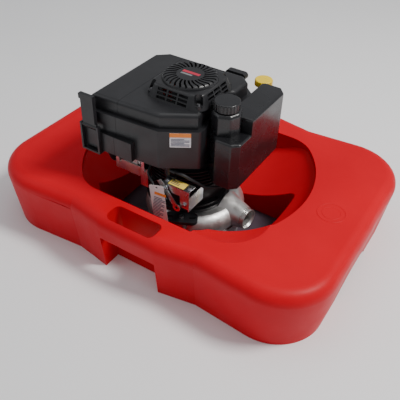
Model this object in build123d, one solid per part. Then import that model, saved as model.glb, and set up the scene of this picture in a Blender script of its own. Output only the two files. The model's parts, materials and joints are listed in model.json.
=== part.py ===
from build123d import *
import math
import os

# Portable floating fire pump: a moulded float with a vertical-shaft engine on a centrifugal pump.
# Millimetres. Origin: centre of the float's underside. X along the float's length, Z up.

# ---------------------------------------------------------------- driving dimensions
FLOAT_LENGTH = 860.0
FLOAT_WIDTH = 628.0
FLOAT_HEIGHT = 159.0
FLOAT_SKIN = 5.0
FLOAT_CORNER = 130.0
FLOAT_EDGE = 28.0
WALL_DRAFT = 6.6
SIDE_FLARE = 0.08
CREASE_X = 163.0
HANDLE_HALF = 73.0
HANDLE_SIDE_Y = 308.0
SLOT_HALF = 62.0
SLOT_INNER_Y = 246.0
SLOT_OUTER_Y = 291.0
BAR_UNDERSIDE = 97.0

WELL_RADIUS = 281.0
WELL_X = -6.0
WELL_NEAR_Y = -229.0
WELL_FAR_Y = 217.0
WELL_CORNER = 88.0
DISH_RADIUS = 382.0
DISH_CENTRE_Z = 407.0
POCKET = (-186.0, 228.0, -204.0, 75.0)
POCKET_CORNER = 22.0
SCOOP_CENTRE = (150.0, -130.0, 329.4)
SCOOP_RADIUS = 196.0
SHELF_INNER_EDGE = ((112.0, -240.0), (134.0, -186.0), (176.0, -159.0), (213.0, -136.0), (250.0, -113.0))
SHELF_OUTSIDE = ((320.0, -113.0), (320.0, -320.0), (112.0, -320.0))
ARCH_HALF = 98.0
ARCH_RISE = 50.0
ARCH_DEPTH = 92.0

# The crankshaft and the pump share one upright axis.
AXIS_X = -8.0
AXIS_Y = -45.0

GAP = 0.3
RUN = 0.05

BASE_Z0 = 2.0
BASE_Z1 = 6.0
BASE_MARGIN = 20.0
SUCTION_OPENING = 74.0

COVER_Z0 = 32.0
COVER_Z1 = 42.0
COVER_RADIUS = 116.0
INLET_RADIUS = 34.0
VOLUTE_TOP = 104.0
VOLUTE_MID_Z = 74.0
VOLUTE_X = 13.0
VOLUTE_RING = 88.0
VOLUTE_TUBE = 32.0
VOLUTE_WALL = 6.0
CHAMBER_X = 2.5
CHAMBER_RADIUS = 88.0
OUTLET_END = 160.5
OUTLET_Y = 23.0
OUTLET_Z = 80.0
OUTLET_TURN = -8.0
OUTLET_END_RADIUS = 25.25
OUTLET_END_LENGTH = 12.0
OUTLET_BORE = 20.0
AXIS_TO_BORE = 60.0

PLATE_Z0 = 104.0
PLATE_Z1 = 112.0
PLATE_RADIUS = 101.0
FOOT_RADIUS = 124.0
FOOT_ANGLES = (-64.0, 62.0, 152.0)

CASE_Z0 = PLATE_Z1
CASE_Z1 = 226.0
CASE_RADIUS = 84.0
SHAFT_RADIUS = 11.0
JOURNAL_RADIUS = 15.0
CRANK_THROW = 22.0
CYLINDER_Z = 172.0

SHROUD_TOP = 367.0
LEDGE_Z = 334.0
LEDGE_DEPTH = 11.0
SHROUD_BOTTOM = 243.0
SHROUD_WALL = 3.0
SEAM_X = -105.0
STARTER_HALF = 75.0
STARTER_DRAFT = 22.5
LUG_TOP = 377.0
CROWN_RADIUS = 60.0
STARTER_SHOULDER = 397.0
STARTER_TOP = 406.0
STARTER_SLOTS = 28
GRIP_X = AXIS_X + 32.0
ROPE_Z = 352.0
FLYWHEEL_RADIUS = 73.0
FLYWHEEL_Z0 = 256.0
FLYWHEEL_Z1 = 274.0
FAN_Z1 = 295.0
PORT_X = -158.0
PLUG_Y = AXIS_Y + 8.0
PLUG_Z = CYLINDER_Z - 19.0
PLUG_RADIUS = 6.0
PLUG_END_X = -191.0
COIL_X = -30.0

TANK_FRONT = -116.0
TANK_SIDE = 153.0
TANK_BACK = 106.0
TANK_BOTTOM = 206.0
TANK_SHELF = 318.0
TANK_STEP_X = 92.0
TANK_STEP_Y = -56.0
TANK_TOP = 352.0
TANK_WALL = 3.0
NECK = (97.0, -68.0)
NECK_RADIUS = 34.0
CAP_TOP = 388.0
CAP_BOTTOM = 370.5
DOME_TOP = 368.0
OIL_TUBE = (84.0, 126.0)
OIL_CAP_TOP = 348.0

LINK_Y = -166.0
LINK_PIVOT_Z = 204.0
LINK_ARM = 32.0
LINK_LEFT_X = -120.0
LINK_RIGHT_X = -50.0
CARB_X = -88.0
CARB_Y = -146.0
CARB_Z = 216.0
LEVER_PIVOT = (14.0, 194.0)
LEVER_Y = -175.0

LOW = (Align.CENTER, Align.CENTER, Align.MIN)


# ---------------------------------------------------------------- small helpers
def block(x0, x1, y0, y1, z0, z1):
    """A rectangular block between two corners."""
    size = (x1 - x0, y1 - y0, z1 - z0)
    return Pos((x0 + x1) / 2, (y0 + y1) / 2, (z0 + z1) / 2) * Box(*size)


def post(x, y, z0, z1, radius):
    """An upright round bar."""
    return Pos(x, y, z0) * Cylinder(radius, z1 - z0, align=LOW)


def tube(x, y, z0, z1, outer, inner):
    """An upright round tube."""
    return post(x, y, z0, z1, outer) - post(x, y, z0 - 1, z1 + 1, inner)


def rod(start, end, radius):
    """A round bar from one point to another."""
    run = Vector(*end) - Vector(*start)
    return Plane(origin=start, z_dir=run) * Cylinder(radius, run.length, align=LOW)


def prism(points, z0, z1, corner=0.0):
    """An upright prism on a polygon, its corners rounded in plan."""
    face = make_face(Polyline(*points, close=True))
    if corner:
        face = fillet(face.vertices(), corner)
    return extrude(Pos(0, 0, z0) * face, amount=z1 - z0)


def rounded_block(x0, x1, y0, y1, z0, z1, corner):
    """An upright block with rounded upright edges."""
    face = RectangleRounded(x1 - x0, y1 - y0, corner)
    return extrude(Pos((x0 + x1) / 2, (y0 + y1) / 2, z0) * face, amount=z1 - z0)


def around(angle, radius):
    """The point at an angle and radius about the crankshaft."""
    turn = math.radians(angle)
    return AXIS_X + radius * math.cos(turn), AXIS_Y + radius * math.sin(turn)


def hex_screw(x, y, z_under_head, radius, length, up=True):
    """A hexagon-head screw; its head stands on the face at z_under_head."""
    way = 1 if up else -1
    head = extrude(Pos(x, y, z_under_head) * RegularPolygon(radius * 1.75, 6), amount=way * radius * 1.3)
    shank_low = z_under_head - length if up else z_under_head
    shank = post(x, y, shank_low, shank_low + length, radius)
    return head + shank


def group(solids):
    """Several separate like solids kept as one named piece."""
    return Compound(children=list(solids))


# ---------------------------------------------------------------- float
def float_outline(inset):
    """Plan of the float at its top: flared corner lobes, a V crease and a handle bulge each side."""
    half_length = FLOAT_LENGTH / 2
    half_width = FLOAT_WIDTH / 2
    crease_y = half_width - SIDE_FLARE * (half_length - CREASE_X)
    side = [
        (half_length, half_width),
        (CREASE_X, crease_y),
        (HANDLE_HALF, HANDLE_SIDE_Y),
        (-HANDLE_HALF, HANDLE_SIDE_Y),
        (-CREASE_X, crease_y),
        (-half_length, half_width),
    ]
    other = [(-x, -y) for x, y in side]
    face = make_face(Polyline(*(side + other), close=True))
    corners = [v for v in face.vertices() if abs(v.X) > half_length - 1]
    face = fillet(corners, FLOAT_CORNER)
    knuckles = [v for v in face.vertices() if abs(abs(v.X) - HANDLE_HALF) < 1]
    face = fillet(knuckles, 40.0)
    if inset:
        face = offset(face, -inset)
    return face


def float_block(inset):
    """The float before anything is cut from it, or the same form shrunk by a wall's thickness."""
    top = FLOAT_HEIGHT - inset
    outline = Pos(0, 0, top) * float_outline(inset)
    body = extrude(outline, amount=top - inset, dir=(0, 0, -1), taper=WALL_DRAFT)
    rim = [e for e in body.edges() if e.center().Z > top - 0.01]
    return fillet(rim, FLOAT_EDGE - inset)


def well_cut(grow):
    """The dished well: a flat-sided round opening down to a spherical dish, and the pump's pocket."""
    circle = Pos(WELL_X, 0) * Circle(WELL_RADIUS + grow)
    middle = (WELL_NEAR_Y + WELL_FAR_Y) / 2
    band = Pos(0, middle) * Rectangle(FLOAT_LENGTH, WELL_FAR_Y - WELL_NEAR_Y + 2 * grow)
    rim = circle & band
    rim = fillet(rim.vertices(), WELL_CORNER + grow)
    opening = extrude(rim, amount=FLOAT_HEIGHT + 40)
    dish = opening & (Pos(WELL_X, 0, DISH_CENTRE_Z) * Sphere(DISH_RADIUS + grow))
    x0, x1, y0, y1 = POCKET
    pocket = rounded_block(
        x0 - grow, x1 + grow, y0 - grow, y1 + grow, -10, FLOAT_HEIGHT - 45, POCKET_CORNER + grow
    )
    well = dish + (pocket & extrude(rim, amount=FLOAT_HEIGHT + 40, both=True))
    return well - outlet_shelf(grow)


def outlet_shelf(shrink):
    """The corner that is left standing beside the outlet, under the shallow scoop."""
    face = make_face(Polyline(*(SHELF_INNER_EDGE + SHELF_OUTSIDE), close=True))
    face = offset(face, -shrink) if shrink else face
    return extrude(Pos(0, 0, -20) * face, amount=FLOAT_HEIGHT + 80)


def handle_cut(side, grow):
    """A hand slot through the top and the notch under its bar."""
    slot = rounded_block(
        -SLOT_HALF - grow,
        SLOT_HALF + grow,
        SLOT_INNER_Y - grow,
        SLOT_OUTER_Y + grow,
        -10,
        FLOAT_HEIGHT + 20,
        14.0 + grow,
    )
    notch = block(
        -HANDLE_HALF - grow,
        HANDLE_HALF + grow,
        SLOT_INNER_Y - grow,
        FLOAT_WIDTH,
        -10,
        BAR_UNDERSIDE + grow,
    )
    cut = slot + notch
    return cut if side > 0 else Rot(0, 0, 180) * cut


def end_arch(side, grow):
    """The shallow arch under one short end."""
    left = (-ARCH_HALF - grow, -10.0)
    right = (ARCH_HALF + grow, -10.0)
    crown = (0.0, ARCH_RISE + grow)
    curve = ThreePointArc(left, crown, right) + Line(right, left)
    face = Plane.YZ * make_face(curve)
    start = FLOAT_LENGTH / 2 - ARCH_DEPTH - grow
    cut = Pos(start, 0, 0) * extrude(face, amount=ARCH_DEPTH + 60)
    return cut if side > 0 else Rot(0, 0, 180) * cut


def plate_rebate(grow):
    """The step in the underside that the base plate sits in."""
    x0, x1, y0, y1 = POCKET
    wide = BASE_MARGIN + GAP + grow
    return rounded_block(
        x0 - wide, x1 + wide, y0 - wide, y1 + wide, -10, BASE_Z1 + grow, POCKET_CORNER + wide
    )


def float_hull():
    """Hollow moulded float: outer form less a cavity that leaves an even skin."""

    def shape(inset):
        body = float_block(inset)
        body -= well_cut(inset)
        body -= Pos(*SCOOP_CENTRE) * Sphere(SCOOP_RADIUS + inset)
        body -= plate_rebate(inset)
        for side in (1, -1):
            body -= handle_cut(side, inset)
            body -= end_arch(side, inset)
        return body

    return shape(0.0) - shape(FLOAT_SKIN)


# ---------------------------------------------------------------- base, strainer and pump
def base_bolt_points():
    """Centres of the bolts round the base plate's margin."""
    x0, x1, y0, y1 = POCKET
    out = BASE_MARGIN / 2
    xs = (x0 + 30, (x0 + x1) / 2, x1 - 30)
    ys = (y0 + 30, y1 - 30)
    points = [(x, y) for x in xs for y in (y0 - out, y1 + out)]
    return points + [(x, y) for y in ys for x in (x0 - out, x1 + out)]


def pump_point(angle, radius):
    """The point at an angle and radius about the volute's middle, which is off the crankshaft."""
    turn = math.radians(angle)
    return VOLUTE_X + radius * math.cos(turn), AXIS_Y + radius * math.sin(turn)


def leg_points():
    """Centres of the feet that carry the pump on the base plate."""
    return [pump_point(angle, COVER_RADIUS - 12.0) for angle in (15.0, 105.0, 195.0, 285.0)]


def base_plate():
    """Flat plate that closes the pocket's underside, open under the pump."""
    x0, x1, y0, y1 = POCKET
    wide = BASE_MARGIN
    plate = rounded_block(
        x0 - wide, x1 + wide, y0 - wide, y1 + wide, BASE_Z0, BASE_Z1, POCKET_CORNER + wide
    )
    plate -= post(AXIS_X, AXIS_Y, 0, 20, SUCTION_OPENING)
    for x, y in base_bolt_points():
        plate -= post(x, y, 0, 20, 3.3)
    for x, y in leg_points():
        plate -= post(x, y, 0, 20, 3.3)
    return plate


def base_plate_bolts():
    """Bolts up through the plate's margin; their heads stay above the ground."""
    return group(hex_screw(x, y, BASE_Z0, 2.2, BASE_Z1 - BASE_Z0, up=False)
                 - block(x - 9, x + 9, y - 9, y + 9, -9, 0.3)
                 for x, y in base_bolt_points())


def suction_strainer():
    """Perforated can under the pump's inlet, slotted all round, with a holed floor."""
    radius = SUCTION_OPENING - 2.0
    can = post(AXIS_X, AXIS_Y, BASE_Z0, COVER_Z0, radius)
    can -= post(AXIS_X, AXIS_Y, BASE_Z0 + 2.0, COVER_Z0, radius - 2.0)
    slots = []
    for index in range(24):
        bar = Pos(AXIS_X, AXIS_Y, 19.0) * Rot(0, 0, index * 15.0) * Pos(radius, 0, 0)
        slots.append(bar * Box(12.0, 8.0, 15.0))
    holes = [Pos(*around(angle, ring), BASE_Z0) * Cylinder(5.0, 12.0)
             for ring, count in ((18.0, 6), (38.0, 12), (58.0, 18))
             for angle in [step * 360.0 / count for step in range(count)]]
    return can - slots - holes


def suction_cover():
    """Pump's lower cover with the inlet in its middle and four feet that stand on the base plate."""
    cover = post(VOLUTE_X, AXIS_Y, COVER_Z0, COVER_Z1, COVER_RADIUS)
    lip = post(AXIS_X, AXIS_Y, COVER_Z1, COVER_Z1 + 4.0, INLET_RADIUS + 30)
    cover = cover + lip - post(AXIS_X, AXIS_Y, 0, 90, INLET_RADIUS)
    for x, y in leg_points():
        cover += post(x, y, BASE_Z1, COVER_Z0, 8.0)
        cover -= post(x, y, 0, COVER_Z0 + 6.0, 3.3)
    for x, y in cover_screw_points():
        cover -= post(x, y, 0, 90, 2.7)
    return cover


def cover_screw_points():
    """Centres of the screws that hold the suction cover to the volute."""
    return [pump_point(37.5 + 45.0 * index, COVER_RADIUS - 6.0) for index in range(8)]


def suction_cover_screws():
    """Screws up through the suction cover."""
    return group(hex_screw(x, y, COVER_Z0 - GAP, 2.5, 10.0 + 3.0, up=False)
                 for x, y in cover_screw_points())


def outlet_frame(distance):
    """A place on the outlet's axis, turned so that local Z runs out of it."""
    return Pos(AXIS_X, AXIS_Y, OUTLET_Z) * Rot(0, 0, OUTLET_TURN) * Pos(distance, OUTLET_Y, 0) * Rot(0, 90, 0)


def outlet_length():
    """Distance from the pump's axis to the outlet's end face, along the outlet."""
    return OUTLET_END - AXIS_X


def mounting_lugs():
    """Lugs that reach out from the volute under the mount plate's feet."""
    lugs = []
    for angle in FOOT_ANGLES:
        x, y = around(angle, FOOT_RADIUS)
        lugs.append(post(x, y, VOLUTE_TOP - 22.0, VOLUTE_TOP, 13.0))
        arm = Pos(x, y, VOLUTE_TOP - 9.0) * Rot(0, 0, angle) * Pos(-25.0, 0, 0)
        lugs.append(arm * Box(50.0, 22.0, 18.0))
    return lugs


def outlet_neck():
    """Outlet: a flare off the volute, a cone and a short machined ring at the end."""
    ring_start = outlet_length() - OUTLET_END_LENGTH
    cone_start = ring_start - 22.0
    flare_start = cone_start - 34.0
    flare = outlet_frame(flare_start) * Cone(42.0, 32.0, cone_start - flare_start, align=LOW)
    cone = outlet_frame(cone_start) * Cone(32.0, 27.0, ring_start - cone_start, align=LOW)
    ring = outlet_frame(ring_start) * Cylinder(OUTLET_END_RADIUS, OUTLET_END_LENGTH, align=LOW)
    return flare + cone + ring


def volute_casing():
    """Cast eccentric volute with its outlet neck, mounting lugs and shaft opening."""
    inner = VOLUTE_TUBE - VOLUTE_WALL
    body = Pos(VOLUTE_X, AXIS_Y, VOLUTE_MID_Z) * Torus(VOLUTE_RING, VOLUTE_TUBE)
    body -= post(AXIS_X, AXIS_Y, VOLUTE_TOP, 150.0, FOOT_RADIUS + 19.0)
    body += post(VOLUTE_X, AXIS_Y, COVER_Z1, VOLUTE_TOP, VOLUTE_RING)
    body += post(VOLUTE_X, AXIS_Y, COVER_Z1, COVER_Z1 + 9.0, COVER_RADIUS)
    body += outlet_neck()
    body += mounting_lugs()
    body -= Pos(VOLUTE_X, AXIS_Y, VOLUTE_MID_Z) * Torus(VOLUTE_RING, inner)
    body -= post(CHAMBER_X, AXIS_Y, 0, VOLUTE_MID_Z + 18.0, CHAMBER_RADIUS)
    body -= post(AXIS_X, AXIS_Y, 0, 200, 26.0)
    body -= outlet_frame(AXIS_TO_BORE) * Cylinder(OUTLET_BORE, 200.0, align=LOW)
    body -= outlet_frame(outlet_length() - 5.0) * Cone(OUTLET_BORE, OUTLET_BORE + 2.5, 5.001, align=LOW)
    body -= post(VOLUTE_X, AXIS_Y, -10, COVER_Z1, 200.0)
    body -= post(AXIS_X, AXIS_Y, VOLUTE_TOP, 150.0, PLATE_RADIUS + 1.5)
    for x, y in cover_screw_points():
        body -= post(x, y, 0, COVER_Z1 + 3.2, 2.5)
    for angle in FOOT_ANGLES:
        x, y = around(angle, FOOT_RADIUS)
        body -= post(x, y, VOLUTE_TOP - 14.0, VOLUTE_TOP + 9, 3.0)
    return body


def impeller():
    """Closed-back impeller: disc, hub and curved blades that face the inlet."""
    disc_z = 66.0
    disc = post(AXIS_X, AXIS_Y, disc_z, disc_z + 4.0, 66.0)
    hub = post(AXIS_X, AXIS_Y, 50.0, 84.0, 17.0)
    wheel = disc + hub
    for index in range(6):
        place = Pos(AXIS_X, AXIS_Y, 50.0) * Rot(0, 0, index * 60.0)
        arc = ThreePointArc((15.0, 0.0), (42.0, 7.0), (60.0, 22.0))
        blade = extrude(trace(arc, line_width=3.0), amount=disc_z - 50.0 + 1.0)
        wheel += place * blade
    return wheel - post(AXIS_X, AXIS_Y, 0, 200, SHAFT_RADIUS)


def impeller_bolt():
    """Washer-faced bolt that holds the impeller on the shaft's end."""
    head = extrude(Pos(AXIS_X, AXIS_Y, 40.0) * RegularPolygon(9.0, 6), amount=7.0)
    washer = post(AXIS_X, AXIS_Y, 47.0, 50.0, 15.0)
    return head + washer


def shaft_seal():
    """Spring-loaded face seal where the shaft leaves the pump."""
    body = tube(AXIS_X, AXIS_Y, 88.0, VOLUTE_TOP - 1.0, 26.0, SHAFT_RADIUS + RUN)
    return body - tube(AXIS_X, AXIS_Y, 84.0, 92.0, 30.0, 20.0)


def engine_mount_plate():
    """Black slotted adapter ring with three slotted feet between the pump and the engine."""
    plate = post(AXIS_X, AXIS_Y, PLATE_Z0, PLATE_Z1, PLATE_RADIUS)
    for angle in FOOT_ANGLES:
        x, y = around(angle, FOOT_RADIUS)
        foot = Pos(x, y, PLATE_Z0) * Rot(0, 0, angle)
        plate += foot * extrude(RectangleRounded(36.0, 74.0, 14.0), amount=PLATE_Z1 - PLATE_Z0)
    plate -= post(AXIS_X, AXIS_Y, 0, 200, 42.0)
    for angle in (-5.0, 115.0, 200.0, 240.0, 25.0):
        arc = CenterArc((0, 0), 94.0, angle - 15.0, 30.0)
        slot = extrude(trace(arc, line_width=6.0), amount=30.0)
        plate -= Pos(AXIS_X, AXIS_Y, PLATE_Z0 - 5) * slot
    for angle in FOOT_ANGLES:
        x, y = around(angle, FOOT_RADIUS)
        plate -= post(x, y, 0, 200, 4.3)
        for turn in (-11.5, 11.5):
            sx, sy = around(angle + turn, FOOT_RADIUS + 3.0)
            slot = Pos(sx, sy, PLATE_Z0) * Rot(0, 0, angle + turn) * Box(5.0, 14.0, 40.0)
            plate -= slot
    return plate


def mount_bolts():
    """Bolts through the plate's feet into the volute's lugs."""
    return group(hex_screw(*around(angle, FOOT_RADIUS), PLATE_Z1, 3.0, 16.0) for angle in FOOT_ANGLES)


# ---------------------------------------------------------------- engine block and its insides
def shroud_arms():
    """Arms on top of the block that the covers are fixed to."""
    wall = 70.0 - SHROUD_WALL
    arms = block(wall - 3, wall, AXIS_Y - 12, AXIS_Y + 12, CASE_Z1 - 4, 252)
    arms += block(-10, 14, 20, 89, CASE_Z1 - 4, CASE_Z1 + 3)
    return arms + block(-10, 14, 86, 89, CASE_Z1 - 4, 252)


def crankcase():
    """Engine block: bottom flange, round case with cooling ribs, top bearing boss, cylinder mouth."""
    case = post(AXIS_X, AXIS_Y, CASE_Z0, CASE_Z0 + 8.0, 96.0)
    case += post(AXIS_X, AXIS_Y, CASE_Z0, CASE_Z1, CASE_RADIUS)
    for index in range(6):
        z = 166.0 + 9.0 * index
        case += post(AXIS_X, AXIS_Y, z, z + 3.0, CASE_RADIUS + 9.0)
    case += rounded_block(-98, -70, AXIS_Y - 46, AXIS_Y + 46, 128, CASE_Z1 - 6, 8)
    case += post(AXIS_X, AXIS_Y, CASE_Z1, CASE_Z1 + 14.0, 30.0)
    case += shroud_arms()
    case += rounded_block(30, 66, 20, 56, 140, 172, 6)
    case += block(48, 68, -123, -100, 138, 151)
    case += block(-60, -42, -128, -105, 150, 163)
    case -= post(AXIS_X, AXIS_Y, CASE_Z0 + 12.0, CASE_Z1 - 10.0, CASE_RADIUS - 8.0)
    case += post(AXIS_X, AXIS_Y, CASE_Z0 + 11.0, CASE_Z0 + 30.0, 27.0)
    case -= rod((-120, AXIS_Y, CYLINDER_Z), (-40, AXIS_Y, CYLINDER_Z), 33.6)
    case -= post(AXIS_X, AXIS_Y, 0, CASE_Z0 + 30.0, 19.0)
    case -= post(AXIS_X, AXIS_Y, CASE_Z0 - 1, CASE_Z0 + 5.0, 21.0)
    case -= post(AXIS_X, AXIS_Y, CASE_Z1 - 20, CASE_Z1 + 30.0, 22.0)
    case -= post(52.0, 42.0, 160.0, 190.0, 11.0) + post(52.0, 42.0, 150.0, 165.0, 8.5)
    for angle in (90.0, 210.0, 330.0):
        x, y = around(angle + 20.0, 90.0)
        case -= post(x, y, 0, CASE_Z0 + 20, 2.6)
    return case


def crank_bearing(z0, z1, outer):
    """Plain bearing bush about the crankshaft."""
    return tube(AXIS_X, AXIS_Y, z0, z1, outer, JOURNAL_RADIUS + RUN)


def oil_seal():
    """Lip seal where the crankshaft leaves the crankcase's underside."""
    return tube(AXIS_X, AXIS_Y, CASE_Z0, CASE_Z0 + 5.0, 21.0, SHAFT_RADIUS + RUN)


def crankshaft():
    """Upright crankshaft: pump end, journals, two round webs, crank pin and flywheel end."""
    shaft = post(AXIS_X, AXIS_Y, 50.0, CASE_Z0 + 12.0, SHAFT_RADIUS)
    shaft += post(AXIS_X, AXIS_Y, CASE_Z0 + 6.0, 150.0, JOURNAL_RADIUS)
    shaft += post(AXIS_X, AXIS_Y, 150.0, 158.0, 42.0)
    shaft += post(AXIS_X - CRANK_THROW, AXIS_Y, 158.0, 186.0, 13.0)
    shaft += post(AXIS_X, AXIS_Y, 186.0, 194.0, 42.0)
    shaft += post(AXIS_X, AXIS_Y, 194.0, 246.0, JOURNAL_RADIUS)
    shaft += post(AXIS_X, AXIS_Y, 246.0, 292.0, SHAFT_RADIUS)
    return shaft


def cylinder():
    """Finned barrel that lies flat, pointing along -X from the crankcase."""
    barrel = rod((-98.3, AXIS_Y, CYLINDER_Z), (-146, AXIS_Y, CYLINDER_Z), 33.0)
    for index in range(5):
        x = -101.0 - 9.5 * index
        barrel += rounded_fin(x, 50.0, 44.0)
    return barrel - rod((-90, AXIS_Y, CYLINDER_Z), (-160, AXIS_Y, CYLINDER_Z), 28.0)


def rounded_fin(x, half_y, half_z):
    """A cooling fin standing across the cylinder's axis."""
    face = Plane.YZ * RectangleRounded(2 * half_y, 2 * half_z, 10.0)
    return Pos(x, AXIS_Y, CYLINDER_Z) * extrude(face, amount=-3.0)


def piston():
    """Piston at the top of its stroke, with three ring grooves and its pin hole."""
    body = rod((-94, AXIS_Y, CYLINDER_Z), (-138, AXIS_Y, CYLINDER_Z), 27.9)
    body -= rod((-93, AXIS_Y, CYLINDER_Z), (-130, AXIS_Y, CYLINDER_Z), 23.0)
    body -= post(-108, AXIS_Y, CYLINDER_Z - 40, CYLINDER_Z + 40, 7.0)
    for x in (-123.0, -128.0, -133.0):
        groove = rod((x, AXIS_Y, CYLINDER_Z), (x - 1.6, AXIS_Y, CYLINDER_Z), 29.0)
        groove -= rod((x + 1, AXIS_Y, CYLINDER_Z), (x - 3, AXIS_Y, CYLINDER_Z), 26.0)
        body -= groove
    return body


def cylinder_head():
    """Finned head with the plug boss and the two ports' flanges."""
    head = Pos(-148.0, AXIS_Y, CYLINDER_Z) * Box(4.0, 96.0, 84.0)
    for index in range(3):
        head += rounded_fin(-150.5 - 6.5 * index, 48.0, 42.0)
    head += Pos(-156.0, AXIS_Y, CYLINDER_Z) * Box(20.0, 62.0, 52.0)
    port_z = CYLINDER_Z + 8
    head += rod((PORT_X, AXIS_Y - 54, port_z), (PORT_X, AXIS_Y + 54, port_z), 12.0)
    for side in (-1, 1):
        head -= rod((PORT_X, AXIS_Y + side * 40, port_z), (PORT_X, AXIS_Y + side * 60, port_z), 8.0)
    head -= rod((-140, PLUG_Y, PLUG_Z), (-180, PLUG_Y, PLUG_Z), PLUG_RADIUS)
    return head - rod((-166, PLUG_Y, PLUG_Z), (-180, PLUG_Y, PLUG_Z), 11.0)


def rocker_cover():
    """Pressed cover over the valve gear."""
    face = Plane.YZ * RectangleRounded(64.0, 44.0, 8.0)
    cover = Pos(-170.0, AXIS_Y - 8.0, CYLINDER_Z + 13.0) * extrude(face, amount=-12.0)
    rim = [e for e in cover.edges() if e.center().X < -181.9]
    return fillet(rim, 4.0)


def spark_plug():
    """Plug in the head with its hexagon and white insulator."""
    plug = rod((-146, PLUG_Y, PLUG_Z), (-167, PLUG_Y, PLUG_Z), PLUG_RADIUS)
    hexagon = Plane.YZ * RegularPolygon(9.0, 6)
    plug += Pos(-166, PLUG_Y, PLUG_Z) * extrude(hexagon, amount=-8.0)
    plug += rod((-173, PLUG_Y, PLUG_Z), (-190, PLUG_Y, PLUG_Z), 5.0)
    return plug


def plug_cap():
    """Rubber cap over the plug's end, turned up to the lead."""
    cap = rod((-176, PLUG_Y, PLUG_Z), (-198, PLUG_Y, PLUG_Z), 8.5)
    cap += post(PLUG_END_X, PLUG_Y, PLUG_Z, PLUG_Z + 22.0, 6.5)
    return cap - rod((-170, PLUG_Y, PLUG_Z), (-190, PLUG_Y, PLUG_Z), 5.0)


def ignition_coil():
    """Coil and laminated core close to the flywheel's rim."""
    rim_y = AXIS_Y + FLYWHEEL_RADIUS
    core = block(COIL_X - 12, COIL_X + 12, rim_y + 0.8, rim_y + 20, 258, 272)
    core += block(COIL_X - 6, COIL_X + 6, rim_y + 2.0, rim_y + 7.0, CASE_Z1, 260)
    coil = Pos(COIL_X, rim_y + 25, 250) * extrude(RectangleRounded(34, 22, 6), amount=30)
    return core + coil


def ignition_lead():
    """Lead from the coil over the cylinder and down to the plug cap."""
    coil_y = AXIS_Y + FLYWHEEL_RADIUS + 27.0
    path = FilletPolyline(
        (COIL_X - 17.0, coil_y, 262.0),
        (COIL_X - 36.0, coil_y, 262.0),
        (-84.0, 20.0, 239.0),
        (-166.0, PLUG_Y + 24.0, 235.0),
        (PLUG_END_X, PLUG_Y, 222.0),
        (PLUG_END_X, PLUG_Y, PLUG_Z + 22.0),
        radius=[10, 20, 20, 14],
    )
    section = Plane(origin=path @ 0, z_dir=path % 0) * Circle(2.6)
    return sweep(section, path)


def flywheel():
    """Cast flywheel keyed to the crankshaft's upper end."""
    wheel = post(AXIS_X, AXIS_Y, FLYWHEEL_Z0, FLYWHEEL_Z1, FLYWHEEL_RADIUS)
    wheel -= tube(AXIS_X, AXIS_Y, FLYWHEEL_Z0 + 8.0, FLYWHEEL_Z1 + 6.0, FLYWHEEL_RADIUS - 8.0, 30.0)
    return wheel - post(AXIS_X, AXIS_Y, 0, 400, SHAFT_RADIUS)


def cooling_fan():
    """Moulded fan on top of the flywheel: a ring with slanted blades."""
    floor = FLYWHEEL_Z1 + 3.0
    fan = tube(AXIS_X, AXIS_Y, FLYWHEEL_Z1, floor, FLYWHEEL_RADIUS, 24.0)
    for index in range(18):
        place = Pos(AXIS_X, AXIS_Y, floor) * Rot(0, 0, index * 20.0)
        place *= Pos(FLYWHEEL_RADIUS - 18.0, 0, 0) * Rot(0, 0, 25.0)
        fan += place * Box(32.0, 2.6, FAN_Z1 - floor, align=LOW)
    return fan


def starter_cup():
    """Cup on the flywheel that the starter's pawls catch."""
    cup = tube(AXIS_X, AXIS_Y, 277.0, 312.0, 30.0, 27.0)
    cup += tube(AXIS_X, AXIS_Y, 277.0, 280.0, 30.0, SHAFT_RADIUS)
    return cup


def flywheel_nut():
    """Nut that clamps the flywheel, fan and cup."""
    nut = extrude(Pos(AXIS_X, AXIS_Y, 280.0) * RegularPolygon(17.0, 6), amount=12.0)
    return nut - post(AXIS_X, AXIS_Y, 270, 300, SHAFT_RADIUS)


def muffler():
    """Pressed silencer box behind the cylinder, with its inlet and outlet pipes."""

    def form(inset):
        shape = rounded_block(-172 + inset, -76 - inset, 22 + inset, 92 - inset,
                              160 + inset, 228 - inset, 14 - inset)
        return fillet([e for e in shape.edges() if e.center().Z > 227.9 - inset], 8 - inset)

    box = form(0)
    port_z = CYLINDER_Z + 8
    box += rod((-110, 90, 196), (-110, 106, 196), 9.0)
    box += rod((PORT_X, AXIS_Y + 54, port_z), (PORT_X, 24, port_z), 12.0)
    box -= form(2)
    box -= rod((-110, 80, 196), (-110, 120, 196), 7.0)
    return box - rod((PORT_X, 0, port_z), (PORT_X, 30, port_z), 8.0)


def muffler_guard():
    """Slotted guard outside the silencer."""
    guard = rounded_block(-178, -70, 20, 112, 154, 236, 18)
    guard -= rounded_block(-176, -72, 10, 110, 140, 234, 16)
    guard -= block(-200, -50, 0, 60, 150, 250)
    slots = [block(x, x + 6, 100, 140, 168, 226) for x in range(-162, -80, 14) if abs(x + 107) > 14]
    guard = guard - slots - rod((-110, 100, 196), (-110, 120, 196), 12.0)
    for x in (-150.0, -86.0):
        guard += rod((x, 92, 215), (x, 111, 215), 4.0)
    return guard


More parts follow.
